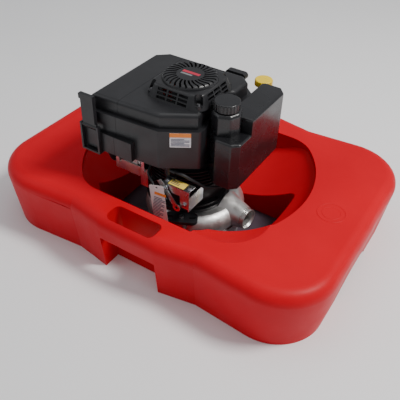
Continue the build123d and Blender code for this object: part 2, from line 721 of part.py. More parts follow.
# ---------------------------------------------------------------- fuel air side and controls
def carburettor():
    """Carburettor body with its bowl, air horn on top and the throttle's cross bore."""
    body = block(CARB_X - 18, CARB_X + 18, CARB_Y - 14, CARB_Y + 14, CARB_Z - 10, CARB_Z + 12)
    body += rod((CARB_X - 30, CARB_Y, CARB_Z), (CARB_X + 24, CARB_Y, CARB_Z), 12.0)
    body += post(CARB_X, CARB_Y, CARB_Z, SHROUD_BOTTOM + 3.0, 13.0)
    body += post(CARB_X, CARB_Y, CARB_Z - 34, CARB_Z - 6, 14.0)
    body -= rod((CARB_X - 31, CARB_Y, CARB_Z), (CARB_X + 10, CARB_Y, CARB_Z), 8.0)
    body -= post(CARB_X, CARB_Y, CARB_Z, SHROUD_BOTTOM + 9.0, 9.0)
    return body


def intake_tube():
    """Insulating pipe from the carburettor to the head's inlet port."""
    path = FilletPolyline(
        (CARB_X - 30, CARB_Y, CARB_Z),
        (PORT_X, CARB_Y, CARB_Z),
        (PORT_X, CARB_Y + 16, CYLINDER_Z + 8),
        (PORT_X, AXIS_Y - 54, CYLINDER_Z + 8),
        radius=[14, 16],
    )
    section = Plane(origin=path @ 0, z_dir=path % 0) * (Circle(11.0) - Circle(8.0))
    return sweep(section, path)


def link_arm(x):
    """A lever plate standing up from its pivot, with the link's hole at its top."""
    top = LINK_PIVOT_Z + LINK_ARM
    face = SlotCenterToCenter(LINK_ARM, 8.0, rotation=90)
    arm = Pos(x, LINK_Y, (LINK_PIVOT_Z + top) / 2) * extrude(Plane.XZ * face, amount=1.6)
    hole = rod((x, LINK_Y - 5, top), (x, LINK_Y + 5, top), 1.7)
    return arm - hole


def throttle_lever():
    """Lever on the left of the linkage with its shaft, which ends in the linkage bracket."""
    shaft = rod((LINK_LEFT_X, LINK_Y - 1, LINK_PIVOT_Z), (LINK_LEFT_X, LINK_Y + 12, LINK_PIVOT_Z), 3.0)
    return link_arm(LINK_LEFT_X) + shaft


def governor_arm():
    """Lever on the right of the linkage with its shaft."""
    shaft = rod((LINK_RIGHT_X, LINK_Y - 1, LINK_PIVOT_Z), (LINK_RIGHT_X, LINK_Y + 12, LINK_PIVOT_Z), 3.0)
    return link_arm(LINK_RIGHT_X) + shaft


def governor_link():
    """Wire link between the two levers, its ends bent through their holes."""
    top = LINK_PIVOT_Z + LINK_ARM
    front = LINK_Y - 5.0
    wire = rod((LINK_LEFT_X - 1.4, front, top), (LINK_RIGHT_X + 1.4, front, top), 1.4)
    for x in (LINK_LEFT_X, LINK_RIGHT_X):
        wire += rod((x, front, top), (x, LINK_Y + 1.5, top), 1.4)
    return wire


def linkage_bracket():
    """Plated bracket that carries both link levers in front of the crankcase."""
    back = LINK_Y + 3.0
    plate = block(LINK_LEFT_X - 9, LINK_RIGHT_X + 10, back, back + 2.0, 186.0, 212.0)
    plate += block(-60, LINK_RIGHT_X + 10, back, -124, 163.0, 165.0)
    plate += block(-60, LINK_RIGHT_X + 10, back, back + 2.0, 163.0, 190.0)
    plate += block(-60, -42, -126, -106, 163.0, 165.0) - post(AXIS_X, AXIS_Y, 150, 200, CASE_RADIUS + 9.0)
    for x in (LINK_LEFT_X, LINK_RIGHT_X):
        plate -= rod((x, back - 2, LINK_PIVOT_Z), (x, back + 6, LINK_PIVOT_Z), 3.0 + RUN)
    return plate


def control_bracket():
    """Plated Z-shaped bracket: top shelf, front flange, side plate and foot."""
    front = LEVER_Y + 3.0
    shelf = block(5, 75, front, front + 26, 203.0, 205.0)
    flange = block(5, 75, front, front + 2, 186.0, 205.0) + block(52, 75, front, front + 2, 156.0, 205.0)
    side = block(73, 75, front, -113, 151.0, 188.0)
    foot = block(50, 75, -125, -113, 151.0, 153.0)
    bracket = shelf + flange + side + foot
    bracket -= rod((LEVER_PIVOT[0], front - 3, LEVER_PIVOT[1]), (LEVER_PIVOT[0], front + 5, LEVER_PIVOT[1]),
                   4.0 + RUN)
    return bracket - post(58, -119, 140, 160, 3.0)


def control_lever():
    """Plated throttle lever: a long arm that slopes down to an eye, on a pivot stud."""
    x, z = LEVER_PIVOT
    eye_x = x + 32.0
    eye_z = z - 40.0
    tail_x = x - 14.0
    tail_z = z + 17.0
    outline = Polyline((tail_x, tail_z), (x, z), (eye_x, eye_z))
    strip = extrude(Plane.XZ * trace(outline, line_width=12.0), amount=2.0)
    arm = Pos(0, LEVER_Y, 0) * strip
    arm += rod((x, LEVER_Y, z), (x, LEVER_Y - 2, z), 9.0)
    arm += rod((eye_x, LEVER_Y, eye_z), (eye_x, LEVER_Y - 2, eye_z), 9.5)
    arm -= rod((eye_x, LEVER_Y + 5, eye_z), (eye_x, LEVER_Y - 5, eye_z), 4.0)
    arm += rod((x, LEVER_Y + 8, z), (x, LEVER_Y - 4, z), 4.0)
    return arm


def throttle_cable():
    """Sheathed cable from beside the lever's arm to the carburettor."""
    path = FilletPolyline(
        (24, -181.5, 170),
        (-8, -181.5, 192),
        (-32, -174, 214),
        (-38, -148, 230),
        (-58, -138, 236),
        (CARB_X + 13, -138, 236),
        radius=[20, 14, 12, 14],
    )
    section = Plane(origin=path @ 0, z_dir=path % 0) * Circle(2.5)
    return sweep(section, path)


def hang_tag():
    """Stiff paper tag hung by its eyelet in front of the engine."""
    face = RectangleRounded(34.0, 104.0, 4.0) - Pos(0, 46.0) * Circle(2.5)
    return Pos(8, -189.0, 153) * Rot(0, -7, 12) * extrude(Plane.XZ * face, amount=0.6)


def fuel_valve():
    """Fuel tap under the shroud's front edge."""
    body = rod((-14, -150, 226), (26, -150, 226), 5.0)
    body += post(6, -150, 216, 236, 8.0)
    body += block(-2, 14, -150, -120, 218, 224)
    return body - post(AXIS_X, AXIS_Y, 200, 240, CASE_RADIUS)


def fuel_valve_lever():
    """Turning lever on the tap."""
    lever = post(6, -150, 206.0, 216.0 - GAP, 6.0)
    return lever + block(6, 26, -153, -147, 207, 212)


def fuel_line():
    """Rubber pipe from the tank to the tap and on to the carburettor, in two lengths."""
    first = FilletPolyline(
        (26, -150, 226), (46, -150, 226), (86, -122, 192), (112, -92, 186), (112, -92, TANK_BOTTOM),
        radius=[16, 20, 9],
    )
    second = FilletPolyline(
        (-14, -150, 226), (-26, -150, 226), (-50, CARB_Y, CARB_Z), (CARB_X + 24, CARB_Y, CARB_Z),
        radius=[12, 12],
    )
    pipes = []
    for path in (first, second):
        section = Plane(origin=path @ 0, z_dir=path % 0) * Circle(3.5)
        pipes.append(sweep(section, path))
    return group(pipes)


# ---------------------------------------------------------------- covers
def shroud_outline(inset):
    """Plan of the engine's top covers."""
    points = [
        (-184, -188),
        (0, -177),
        (74, -130),
        (74, -108),
        (70, -98),
        (70, -12),
        (86, 2),
        (86, 68),
        (60, 92),
        (-150, 92),
        (-184, 60),
    ]
    face = make_face(Polyline(*points, close=True))
    face = fillet(face.vertices(), 9.0)
    return offset(face, -inset) if inset else face


def shroud_form(inset):
    """Both top covers as one form: full below the ledge, stepped in above it."""
    floor = SHROUD_BOTTOM - (5.0 if inset else 0.0)
    lower = extrude(Pos(0, 0, floor) * shroud_outline(inset), amount=LEDGE_Z - inset - floor)
    top = SHROUD_TOP - inset
    upper = extrude(Pos(0, 0, floor) * shroud_outline(LEDGE_DEPTH + inset), amount=top - floor)
    edges = [e for e in upper.edges() if e.center().Z > top - 0.01]
    upper = fillet(edges, 9.0 - inset)
    band = block(-188 + inset, -59 - inset, -193 + inset, -150, floor, 289 - inset)
    bite = post(*NECK, 300 - inset, 400, NECK_RADIUS + 2 + inset)
    return lower + upper + band - bite


def covers():
    """The hollow covers before they are parted at the seam."""
    return shroud_form(0.0) - shroud_form(SHROUD_WALL)


def blower_shroud(shell):
    """Right-hand cover over the flywheel, open to the starter above it."""
    part = shell & block(SEAM_X + GAP, 200, -300, 300, 0, 500)
    part -= post(AXIS_X, AXIS_Y, LEDGE_Z + 10, 400, 60.0)
    for x, y in starter_screw_points():
        part -= post(x, y, LEDGE_Z, 400, 2.3)
    return part - rod((GRIP_X, 70, ROPE_Z), (GRIP_X, 100, ROPE_Z), 4.0)


def air_cleaner_cover(shell):
    """Left-hand cover over the air filter."""
    return shell & block(-300, SEAM_X - GAP, -300, 300, 0, 500)


def air_cleaner_base():
    """Tray under the filter with the duct down to the carburettor."""
    low = SHROUD_BOTTOM + 3.0
    inside = extrude(Pos(0, 0, low) * shroud_outline(SHROUD_WALL + GAP), amount=13.0)
    core = extrude(Pos(0, 0, low) * shroud_outline(SHROUD_WALL + 6.0), amount=13.0)
    rim = (inside - core) & block(-200, SEAM_X - 6, -160, 84, low, low + 13)
    tray = inside & block(-200, SEAM_X - 6, -160, 84, low, low + 3)
    duct = block(SEAM_X - 10, CARB_X + 16, CARB_Y - 14, CARB_Y + 14, low, low + 3)
    latch_foot = block(-178, -146, -172, -160, low - 6, low + 3)
    return tray + rim + duct + latch_foot - post(CARB_X, CARB_Y, 200, 300, 9.0)


def air_filter():
    """Pleated filter block on its tray."""
    core = block(-172, SEAM_X - 10, -152, 54, SHROUD_BOTTOM + 6, 322)
    pleats = [block(-160, SEAM_X - 20, y, y + 3, 300, 340) for y in range(-144, 48, 8)]
    return core - pleats


def cover_latch():
    """Upright latch at the cover's front corner."""
    plate = block(-184, -146, -199, -193.6, 300, 372)
    grip = block(-184, -146, -203, -193.6, 364, 376)
    rib = block(-150, -146, -203, -193.6, 310, 376)
    barrel = rod((-184, -198, 300), (-146, -198, 300), 3.6)
    latch = plate + grip + rib + barrel
    return latch - rod((-190, -198, 300), (-140, -198, 300), 1.8)


def latch_pin():
    """Hinge pin of the latch, held by two ears on the air cleaner's tray."""
    pin = rod((-190, -198, 300), (-140, -198, 300), 1.8 - RUN)
    for x in (-190, -145):
        pin += block(x, x + 5, -202, -193.4, 236, 304)
    return pin + block(-190, -140, -202, -158, 236, 240)


def starter_screw_points():
    """Centres of the starter housing's corner screws."""
    reach = STARTER_HALF - 17.0
    return [(AXIS_X + sx * reach, AXIS_Y + sy * reach) for sx in (-1, 1) for sy in (-1, 1)]


def starter_form(inset):
    """Rounded-square raised housing with drafted sides and a domed round crown."""
    sink = 5.0 if inset else 0.0
    slope = math.tan(math.radians(STARTER_DRAFT))
    half = STARTER_HALF - inset / math.cos(math.radians(STARTER_DRAFT)) + sink * slope
    low = SHROUD_TOP - sink
    top = STARTER_SHOULDER - inset
    face = Pos(AXIS_X, AXIS_Y, low) * RectangleRounded(2 * half, 2 * half, 34.0 - inset)
    body = extrude(face, amount=top - low, taper=STARTER_DRAFT)
    rim = [e for e in body.edges() if e.center().Z > top - 0.01]
    body = fillet(rim, 6.0 - inset)
    crown = post(AXIS_X, AXIS_Y, low, STARTER_TOP - inset, CROWN_RADIUS - inset)
    rim = [e for e in crown.edges() if e.center().Z > STARTER_TOP - inset - 0.01]
    return body + fillet(rim, 9.0)


def swirl_slots():
    """Curved cooling slots about the crown's plain centre."""
    arc = ThreePointArc((30.0, 0.0), (43.0, 3.4), (56.5, 12.5))
    cutter = extrude(trace(arc, line_width=4.2), amount=30.0)
    step = 360.0 / STARTER_SLOTS
    return [Pos(AXIS_X, AXIS_Y, STARTER_TOP - 14.0) * Rot(0, 0, step * index) * cutter
            for index in range(STARTER_SLOTS)]


def side_grilles():
    """Rows of slots through the housing's four sides."""
    cutters = []
    for turn in (0.0, 90.0, 180.0, 270.0):
        for row in range(3):
            for column in (-1, 0, 1):
                z = SHROUD_TOP + 6.5 + 8.0 * row
                place = Pos(AXIS_X, AXIS_Y, z) * Rot(0, 0, turn) * Pos(STARTER_HALF - 3.0 * row, 26.0 * column, 0)
                cutters.append(place * Box(20.0, 22.0, 5.6))
    return cutters


def starter_housing():
    """Recoil starter's housing with its slots, grilles and screw lugs."""
    body = starter_form(0.0) - starter_form(3.0)
    body -= swirl_slots()
    body -= side_grilles()
    body += post(AXIS_X, AXIS_Y, 330.0, STARTER_TOP - 3.0, 7.0)
    body -= post(AXIS_X, AXIS_Y, 320.0, 345.0, 2.5)
    for x, y in starter_screw_points():
        body += post(x, y, SHROUD_TOP, STARTER_SHOULDER, 12.0) & starter_form(0.0)
        body += post(x, y, SHROUD_TOP, LUG_TOP, 9.0)
        body -= post(x, y, LUG_TOP, 500, 9.0)
        body -= post(x, y, 300, 500, 2.3)
    return body


def starter_screws():
    """Four screws down through the housing's lugs."""
    return group(hex_screw(x, y, LUG_TOP, 2.2, 20.0) for x, y in starter_screw_points())


def starter_pulley():
    """Rope reel that turns on the housing's centre post, with two dogs for the flywheel's cup."""
    reel = post(AXIS_X, AXIS_Y, 345.0, 348.0, 40.0) + post(AXIS_X, AXIS_Y, 356.0, 359.0, 40.0)
    reel += post(AXIS_X, AXIS_Y, 345.0, 359.0, 29.0)
    reel += post(AXIS_X, AXIS_Y, 318.0, 345.0, 20.0)
    for side in (-1, 1):
        reel += Pos(AXIS_X + side * 17.0, AXIS_Y, 306.0) * Box(12.0, 9.0, 14.0, align=LOW)
    reel -= post(AXIS_X, AXIS_Y, 310.0, 330.0 + GAP, 13.0)
    return reel - post(AXIS_X, AXIS_Y, 330.0, 360.0, 7.0 + RUN)


def reel_screw():
    """Screw and washer that hold the reel on its post."""
    screw = post(AXIS_X, AXIS_Y, 328.0, 330.0, 12.0) + post(AXIS_X, AXIS_Y, 328.0, 345.0, 2.5)
    return screw + extrude(Pos(AXIS_X, AXIS_Y, 324.0) * RegularPolygon(5.5, 6), amount=4.0)


def starter_rope():
    """The rope's straight run from the reel out to its grip."""
    return rod((GRIP_X, -120, ROPE_Z), (GRIP_X, 96, ROPE_Z), 2.2)


def starter_grip():
    """Moulded T grip on the rope's end."""
    face = Plane.XZ * RectangleRounded(52.0, 17.0, 8.0)
    return Pos(GRIP_X, 112, ROPE_Z) * extrude(face, amount=16.0)


def fuel_tank_plan(inset):
    """Plan of the tank: a long block with a tongue that reaches in under its filler."""
    points = [
        (100, TANK_FRONT),
        (138, TANK_FRONT),
        (TANK_SIDE, -102),
        (TANK_SIDE, 88),
        (138, TANK_BACK),
        (98, TANK_BACK),
        (90, 98),
        (90, 0),
        (74, -14),
        (74, -92),
        (86, -102),
    ]
    face = make_face(Polyline(*points, close=True))
    face = fillet(face.vertices(), 5.0)
    return offset(face, -inset) if inset else face


def soft_top(solid, top, radius):
    """Round the top edges of an upright form."""
    return fillet([e for e in solid.edges() if e.center().Z > top - 0.01], radius)


def fuel_tank_form(inset):
    """Tank: low shelf in front under the filler, higher at the back, with the filler's dome."""
    floor = TANK_BOTTOM + inset
    shelf = TANK_SHELF - inset
    top = TANK_TOP - inset
    plan = Pos(0, 0, floor) * fuel_tank_plan(inset)
    low = soft_top(extrude(plan, amount=shelf - floor), shelf, 4.8 - inset)
    high = extrude(plan, amount=top - floor) & block(TANK_STEP_X + inset, 300, TANK_STEP_Y + inset, 300, 0, 500)
    high = soft_top(high, top, 4.8 - inset)
    octagon = fillet(RegularPolygon(NECK_RADIUS - inset, 8).vertices(), 8.0)
    dome = extrude(Pos(*NECK, TANK_SHELF - 16) * octagon, amount=DOME_TOP - inset - TANK_SHELF + 16)
    dome = soft_top(dome, DOME_TOP - inset, 9.0)
    around_engine = post(AXIS_X, AXIS_Y, 0, CASE_Z1 + 5.0 + inset, CASE_RADIUS + 12.0 + inset)
    return low + high + dome - around_engine


def fuel_tank():
    """Hollow fuel tank with its threaded filler neck."""
    tank = fuel_tank_form(0.0)
    tank += post(*NECK, TANK_SHELF + 30, CAP_TOP - 8, 19.0)
    tank -= fuel_tank_form(TANK_WALL)
    return tank - post(*NECK, TANK_SHELF + 10, CAP_TOP + 10, 16.0)


def fuel_cap():
    """Ribbed screw cap over the filler neck."""
    cap = post(*NECK, CAP_BOTTOM, CAP_TOP, 28.0)
    cap = fillet([e for e in cap.edges() if e.center().Z > CAP_TOP - 0.01], 3.0)
    cap -= post(*NECK, CAP_BOTTOM - 5, CAP_TOP - 5, 19.0 + RUN)
    ribs = []
    for index in range(24):
        place = Pos(*NECK, CAP_BOTTOM) * Rot(0, 0, index * 15.0) * Pos(28.0, 0, 0)
        ribs.append(place * Cylinder(1.3, 40.0))
    return cap - ribs


def oil_filler_tube():
    """Filler pipe from the crankcase's boss up behind the tank."""
    path = FilletPolyline(
        (52.0, 42.0, 160.0),
        (52.0, 42.0, 196.0),
        (*OIL_TUBE, 240.0),
        (*OIL_TUBE, OIL_CAP_TOP - 14.0 - GAP),
        radius=[20, 40],
    )
    section = Plane(origin=path @ 0, z_dir=path % 0) * (Circle(11.0) - Circle(8.5))
    return sweep(section, path)


def oil_cap():
    """Yellow ribbed oil cap with its dipstick."""
    x, y = OIL_TUBE
    cap = post(x, y, OIL_CAP_TOP - 14.0, OIL_CAP_TOP, 21.0)
    cap = fillet([e for e in cap.edges() if e.center().Z > OIL_CAP_TOP - 0.01], 3.0)
    for index in range(20):
        place = Pos(x, y, OIL_CAP_TOP - 14.0) * Rot(0, 0, index * 18.0) * Pos(21.0, 0, 0)
        cap -= place * Cylinder(1.2, 40.0)
    cap += post(x, y, OIL_CAP_TOP - 23.0, OIL_CAP_TOP - 13.0, 8.0)
    return cap + post(x, y, 268.0, OIL_CAP_TOP - 13.0, 2.0)



# ---------------------------------------------------------------- writing the pieces
def all_pieces():
    """Every named piece of the pump."""
    shell = covers()
    return {
        "float_hull": float_hull(),
        "base_plate": base_plate(),
        "base_plate_bolts": base_plate_bolts(),
        "suction_strainer": suction_strainer(),
        "suction_cover": suction_cover(),
        "suction_cover_screws": suction_cover_screws(),
        "volute_casing": volute_casing(),
        "impeller": impeller(),
        "impeller_bolt": impeller_bolt(),
        "shaft_seal": shaft_seal(),
        "engine_mount_plate": engine_mount_plate(),
        "mount_bolts": mount_bolts(),
        "crankcase": crankcase(),
        "lower_bearing": crank_bearing(CASE_Z0 + 6.5, CASE_Z0 + 30.0, 19.0),
        "upper_bearing": crank_bearing(CASE_Z1 - 20.0, CASE_Z1 + 14.0, 22.0),
        "oil_seal": oil_seal(),
        "crankshaft": crankshaft(),
        "cylinder": cylinder(),
        "piston": piston(),
        "cylinder_head": cylinder_head(),
        "rocker_cover": rocker_cover(),
        "spark_plug": spark_plug(),
        "plug_cap": plug_cap(),
        "ignition_coil": ignition_coil(),
        "ignition_lead": ignition_lead(),
        "flywheel": flywheel(),
        "cooling_fan": cooling_fan(),
        "starter_cup": starter_cup(),
        "flywheel_nut": flywheel_nut(),
        "muffler": muffler(),
        "muffler_guard": muffler_guard(),
        "carburettor": carburettor(),
        "intake_tube": intake_tube(),
        "throttle_lever": throttle_lever(),
        "governor_arm": governor_arm(),
        "governor_link": governor_link(),
        "linkage_bracket": linkage_bracket(),
        "control_bracket": control_bracket(),
        "control_lever": control_lever(),
        "throttle_cable": throttle_cable(),
        "hang_tag": hang_tag(),
        "fuel_valve": fuel_valve(),
        "fuel_valve_lever": fuel_valve_lever(),
        "fuel_line": fuel_line(),
        "blower_shroud": blower_shroud(shell),
        "air_cleaner_cover": air_cleaner_cover(shell),
        "air_cleaner_base": air_cleaner_base(),
        "air_filter": air_filter(),
        "cover_latch": cover_latch(),
        "latch_pin": latch_pin(),
        "starter_housing": starter_housing(),
        "starter_screws": starter_screws(),
        "starter_pulley": starter_pulley(),
        "reel_screw": reel_screw(),
        "starter_rope": starter_rope(),
        "starter_grip": starter_grip(),
        "fuel_tank": fuel_tank(),
        "fuel_cap": fuel_cap(),
        "oil_filler_tube": oil_filler_tube(),
        "oil_cap": oil_cap(),
    }


os.makedirs("parts", exist_ok=True)
for name, piece in all_pieces().items():
    export_step(piece, f"parts/{name}.step")
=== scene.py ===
"""Floating fire pump: finishes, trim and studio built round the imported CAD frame."""

import json
import math

import bmesh
import bpy
from mathutils import Matrix, Vector


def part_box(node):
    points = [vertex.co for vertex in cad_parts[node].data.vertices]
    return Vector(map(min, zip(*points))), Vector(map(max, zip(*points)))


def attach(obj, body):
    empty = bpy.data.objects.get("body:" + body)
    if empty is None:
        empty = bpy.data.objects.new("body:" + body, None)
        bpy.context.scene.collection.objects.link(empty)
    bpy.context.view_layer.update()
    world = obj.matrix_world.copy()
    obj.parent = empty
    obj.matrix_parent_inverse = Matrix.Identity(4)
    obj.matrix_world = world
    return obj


bl_info = {
    "name": "Floating Fire Pump",
    "version": (1, 0, 0),
    "blender": (4, 5, 0),
    "location": "3D View > Sidebar > Fire Pump",
    "description": "Finishes, trim and a studio for a portable floating fire pump",
    "category": "Object",
}

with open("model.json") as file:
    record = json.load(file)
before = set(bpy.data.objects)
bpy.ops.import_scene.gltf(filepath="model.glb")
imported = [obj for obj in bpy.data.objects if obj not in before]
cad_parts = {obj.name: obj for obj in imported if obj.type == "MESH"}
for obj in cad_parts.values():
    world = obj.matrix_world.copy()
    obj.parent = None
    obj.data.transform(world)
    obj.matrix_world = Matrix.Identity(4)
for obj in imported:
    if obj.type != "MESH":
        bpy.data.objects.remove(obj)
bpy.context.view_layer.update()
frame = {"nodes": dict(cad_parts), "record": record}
PREFIX = "pump_"

# Metres, except the ways that faces look and the counts.
OUTLET_RIM = 0.0239
OUTLET_RADIUS = 0.02525
OUTLET_RING_COUNT = 4
OUTLET_RING_SECTION = 0.0006
OUTLET_RING_START = 0.0018
COVER_FRONT = (0.535, -0.845, 0.0)
TAG_FRONT = (0.2, -1.0, 0.1)
TAG_UP = (0.12, 0.0, 1.0)
UP = (0.0, 0.0, 1.0)
BACK = (0.0, 1.0, 0.0)
SHELF_MIDDLE = 0.013
WASHER_THICKNESS = 0.0010
RING_SIDES = 14
RING_STEPS = 72


# ---------------------------------------------------------------- places read from the frame
def centre(node):
    """Middle of a CAD node's box."""
    low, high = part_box(node)
    return (low + high) / 2


def mount(name):
    """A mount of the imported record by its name."""
    return next(m for m in frame["record"]["mounts"] if m["name"] == name)


def flat_face(node, wanted, likeness):
    """Normal of a node's faces that look a wanted way, and how far out they lie along it."""
    mesh = frame["nodes"][node].data
    way = Vector(wanted).normalized()
    faces = [face for face in mesh.polygons if face.normal.dot(way) > likeness]
    normal = sum((face.normal * face.area for face in faces), Vector()).normalized()
    return normal, max(face.center.dot(normal) for face in faces)


def on_face(node, wanted, likeness, x, z, up):
    """A place on a node's upright flat face, at an x and a z."""
    normal, reach = flat_face(node, wanted, likeness)
    y = (reach - normal.x * x - normal.z * z) / normal.y
    return facing((x, y, z), normal, up)


def outlet_middle():
    """Middle of the outlet's end face; the mount's own point lies on the rim beside it."""
    end = mount("outlet_face")
    across = Vector((0, 0, 1)).cross(Vector(end["axis"]))
    return Vector(end["pos_m"]) + across * OUTLET_RIM


# ---------------------------------------------------------------- what a user may change
def colour_property(name, description, default):
    """An RGB property with a colour picker."""
    return bpy.props.FloatVectorProperty(
        name=name, description=description, subtype="COLOR", size=3, min=0.0, max=1.0, default=default
    )


def length_property(name, description, default):
    """A length in metres."""
    return bpy.props.FloatProperty(
        name=name, description=description, subtype="DISTANCE", unit="LENGTH", min=0.0, default=default
    )


class PumpColours(bpy.types.PropertyGroup):
    """Colours of the pump's finishes."""

    float_red: colour_property("Float", "Moulded float", (0.56, 0.0004, 0.010))
    cover_black: colour_property("Covers", "Engine covers and tank", (0.013, 0.013, 0.015))
    casting: colour_property("Castings", "Cast aluminium", (0.62, 0.61, 0.60))
    zinc: colour_property("Plated steel", "Zinc plated brackets and levers", (0.70, 0.71, 0.70))
    steel: colour_property("Steel", "Plain machined steel", (0.48, 0.48, 0.50))
    # The plate's dark grey is its own colour; its purple tint is a painted reflection of the red float walls
    # around it.
    base_grey: colour_property("Base plate", "Dark plate under the pump", (0.055, 0.035, 0.05))
    cap_yellow: colour_property("Oil cap", "Yellow oil cap", (0.86, 0.60, 0.02))
    label_orange: colour_property("Label", "Heading band of the labels", (0.85, 0.26, 0.04))
    badge_red: colour_property("Badge", "Red band of the starter's badge", (0.62, 0.02, 0.06))


class PumpSizes(bpy.types.PropertyGroup):
    """Sizes of the trim."""

    groove_pitch: length_property("Groove pitch", "Pitch of the tool rings on the outlet", 0.003)
    emblem_radius: length_property("Emblem radius", "Outer radius of the ring emblem on the float", 0.033)
    label_width: length_property("Label width", "Width of the label on the cover", 0.044)
    label_height: length_property("Label height", "Height of the label on the cover", 0.034)
    badge_length: length_property("Badge length", "Length of the starter's badge", 0.042)
    film: length_property("Film", "Thickness of labels and printing", 0.0003)
    camera_distance: length_property("Camera distance", "From the aim point to the camera", 1.3517)


# ---------------------------------------------------------------- materials
class Finish:
    """A procedural finish under construction: its node tree, its shader and its Object coordinates."""

    def __init__(self, name, roughness, metallic=0.0, coat=0.0):
        self.material = bpy.data.materials.new(PREFIX + name)
        self.material.use_nodes = True
        self.tree = self.material.node_tree
        self.shader = self.tree.nodes["Principled BSDF"]
        self.shader.inputs["Metallic"].default_value = metallic
        self.shader.inputs["Roughness"].default_value = roughness
        self.shader.inputs["Coat Weight"].default_value = coat
        self.coordinates = self.node("ShaderNodeTexCoord").outputs["Object"]
        self.normal = None

    def node(self, kind, **inputs):
        """A new node with the given input values."""
        made = self.tree.nodes.new(kind)
        for name, value in inputs.items():
            made.inputs[name.replace("_", " ")].default_value = value
        return made

    def link(self, output, node, name):
        """Join an output to a node's named input."""
        self.tree.links.new(output, node.inputs[name])

    def stretched(self, scale):
        """Object coordinates, scaled differently along each axis."""
        mapping = self.node("ShaderNodeMapping")
        mapping.inputs["Scale"].default_value = scale
        self.link(self.coordinates, mapping, "Vector")
        return mapping.outputs["Vector"]

    def noise(self, scale, detail=3.0, vector=None):
        """Noise at a number of features to the metre."""
        made = self.node("ShaderNodeTexNoise", Scale=scale, Detail=detail)
        self.link(vector or self.coordinates, made, "Vector")
        return made.outputs["Fac"]

    def ramp(self, factor, stops):
        """Colours spread along a factor."""
        made = self.node("ShaderNodeValToRGB")
        self.link(factor, made, "Fac")
        elements = made.color_ramp.elements
        while len(elements) < len(stops):
            elements.new(0.5)
        for element, (place, colour) in zip(elements, stops):
            element.position = place
            element.color = (*colour, 1.0)
        return made.outputs["Color"]

    def colour(self, output):
        """Use an output as the base colour."""
        self.link(output, self.shader, "Base Color")

    def gloss(self, factor, low, high):
        """Vary the roughness between two values."""
        made = self.node("ShaderNodeMapRange", To_Min=low, To_Max=high, From_Min=0.3, From_Max=0.7)
        self.link(factor, made, "Value")
        self.link(made.outputs["Result"], self.shader, "Roughness")

    def bump(self, height, depth, strength=1.0):
        """Add a bump of a depth in metres over the ones before it."""
        made = self.node("ShaderNodeBump", Distance=depth, Strength=strength)
        self.link(height, made, "Height")
        if self.normal:
            self.link(self.normal, made, "Normal")
        self.normal = made.outputs["Normal"]
        self.link(self.normal, self.shader, "Normal")


def shade(colour, factor):
    """A colour made lighter or darker."""
    return tuple(min(1.0, channel * factor) for channel in colour)


def mottled(name, colour, roughness, metallic=0.0, patch=9.0, contrast=0.12, coat=0.0):
    """A finish whose colour drifts softly from place to place."""
    finish = Finish(name, roughness, metallic, coat)
    patches = finish.noise(patch, 4.0)
    finish.colour(finish.ramp(patches, [
        (0.30, shade(colour, 1.0 - contrast)),
        (0.52, colour),
        (0.72, shade(colour, 1.0 + contrast)),
    ]))
    return finish


def float_plastic(colours):
    """Rotationally moulded polyethylene: soft gloss, slight orange peel and pale scuffs."""
    finish = mottled("float_plastic", colours.float_red, 0.42, patch=5.0, contrast=0.07)
    finish.shader.inputs["Specular IOR Level"].default_value = 0.14
    finish.gloss(finish.noise(14.0, 6.0), 0.34, 0.52)
    finish.bump(finish.noise(55.0, 2.0), 0.0009, 0.25)
    finish.bump(finish.noise(900.0, 2.0), 0.00012, 0.5)
    return finish.material


def cover_plastic(colours):
    """Moulded engine covers: deep black with a fine spark-eroded grain."""
    finish = mottled("cover_plastic", colours.cover_black, 0.36, patch=22.0, contrast=0.22)
    finish.shader.inputs["Specular IOR Level"].default_value = 0.55
    finish.gloss(finish.noise(30.0, 5.0), 0.30, 0.44)
    finish.bump(finish.noise(1500.0, 2.0), 0.00010, 0.6)
    return finish.material


def tank_plastic(colours):
    """Blow-moulded tank and cap: smoother and glossier than the covers."""
    finish = mottled("tank_plastic", shade(colours.cover_black, 0.9), 0.25, patch=18.0, contrast=0.2)
    finish.shader.inputs["Specular IOR Level"].default_value = 0.6
    finish.gloss(finish.noise(24.0, 4.0), 0.20, 0.32)
    finish.bump(finish.noise(60.0, 2.0), 0.0006, 0.2)
    finish.bump(finish.noise(1200.0, 2.0), 0.00006, 0.5)
    return finish.material


def cast_metal(colours):
    """Sand-cast aluminium: coarse grain with dull and bright patches."""
    finish = mottled("cast_metal", colours.casting, 0.42, metallic=0.85, patch=28.0, contrast=0.16)
    finish.gloss(finish.noise(60.0, 6.0), 0.30, 0.52)
    finish.bump(finish.noise(420.0, 5.0), 0.0005, 0.45)
    finish.bump(finish.noise(70.0, 3.0), 0.0010, 0.3)
    return finish.material


def machined_metal(colours):
    """Turned aluminium with fine tool rings."""
    finish = mottled("machined_metal", shade(colours.casting, 1.15), 0.24, metallic=1.0, patch=40.0,
                     contrast=0.06)
    lines = finish.noise(1.0, 2.0, finish.stretched((1800.0, 40.0, 40.0)))
    finish.gloss(lines, 0.16, 0.34)
    finish.bump(lines, 0.00010, 0.5)
    return finish.material


def plated_steel(colours):
    """Zinc plate: bright, with faint warm and cool bloom."""
    finish = Finish("plated_steel", 0.30, metallic=1.0)
    zinc = colours.zinc
    finish.colour(finish.ramp(finish.noise(45.0, 3.0), [
        (0.35, (zinc[0] * 0.90, zinc[1] * 0.92, zinc[2] * 1.0)),
        (0.52, tuple(zinc)),
        (0.68, (zinc[0] * 1.05, zinc[1] * 1.0, zinc[2] * 0.88)),
    ]))
    finish.gloss(finish.noise(40.0, 2.0), 0.26, 0.34)
    finish.bump(finish.noise(400.0, 2.0), 0.00002, 0.3)
    return finish.material


